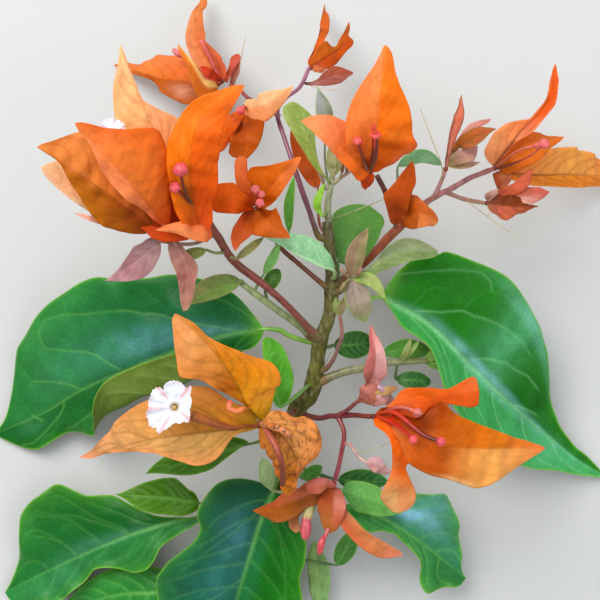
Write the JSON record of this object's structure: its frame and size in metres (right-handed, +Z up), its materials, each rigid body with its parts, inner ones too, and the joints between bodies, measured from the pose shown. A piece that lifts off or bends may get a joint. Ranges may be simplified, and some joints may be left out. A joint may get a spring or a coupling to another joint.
{
  "type": "cut bougainvillea flowering branch",
  "caption": "Cut flowering branch lying on its back: woody stem with reddish stalks, glossy broad leaves, papery orange bracts around slender flower tubes and one white flower.",
  "frame": {"origin": "centre of the bounding box's bottom face, on the surface that the branch lies on", "axes": "+Y from the stem's cut end towards the top of the branch, +Z up towards the blooms, +X to the right of the branch as seen from above"},
  "size_m": [0.1568, 0.1634, 0.0766],
  "materials": {
    "bark": "rough olive-brown bark",
    "stalk_red": "satin reddish stalk",
    "shoot_green": "downy grey-green shoot",
    "leaf_green": "glossy leaf",
    "leaf_pale": "satin pale leaf",
    "leaf_young": "satin young leaf",
    "bract_orange": "papery bract",
    "bract_pink": "papery bud",
    "petal_white": "matt petal"
  },
  "bodies": {
    "root": {"stem_main": "bark", "shoot_top": "shoot_green", "stalk_upper_left": "stalk_red", "shoot_left": "shoot_green", "stalk_top": "stalk_red", "stalk_right": "stalk_red", "shoot_right": "shoot_green", "stalk_short": "stalk_red", "stalk_middle": "stalk_red", "stalk_lower_right": "stalk_red", "stalk_lower_left": "stalk_red", "rosette": "leaf_young", "bloom_front_left": "bract_orange", "bloom_top_left": "bract_orange", "bloom_top_right": "bract_orange", "bloom_middle": "bract_orange", "bloom_back_left": "bract_orange", "bloom_far_right": "bract_orange", "bloom_lower_left": "bract_orange", "bloom_lower_right": "bract_orange", "bloom_bottom": "bract_orange", "leaf_left": "leaf_green", "leaf_right": "leaf_green", "leaf_low_left": "leaf_green", "leaf_low_left_under": "leaf_green", "leaf_low_middle": "leaf_green", "leaf_small_pale": "leaf_pale", "leaf_olive_left": "leaf_green", "leaf_olive_under": "leaf_green", "leaf_low_right": "leaf_green", "leaf_light_right": "leaf_pale", "leaf_dark_right": "leaf_green", "leaf_pale_low": "leaf_pale", "leaf_small_low": "leaf_green", "leaf_low_edge": "leaf_green", "leaf_bright_middle": "leaf_pale", "leaf_mint": "leaf_pale", "leaf_round_back": "leaf_green", "leaf_olive_top": "leaf_pale", "leaf_lilac_top": "leaf_young", "leaf_narrow": "leaf_green", "leaf_grey_right": "leaf_pale", "leaf_brown_left": "leaf_pale", "leaf_mint_small": "leaf_pale", "leaf_dark_small": "leaf_green", "leaf_dark_middle": "leaf_green", "leaf_green_right": "leaf_green", "leaf_dark_lower": "leaf_green", "leaf_young_left": "leaf_pale", "leaf_young_rose": "leaf_young", "leaf_young_mauve": "leaf_young", "leaf_young_olive": "leaf_pale", "bloom_top_middle": "bract_orange", "bloom_small_right": "bract_orange", "bud_right_upper": "bract_orange", "bud_right_lower": "bract_orange", "bud_pink": "bract_pink", "bud_lilac": "bract_pink", "bract_back": "bract_orange"}
  },
  "joints": []
}
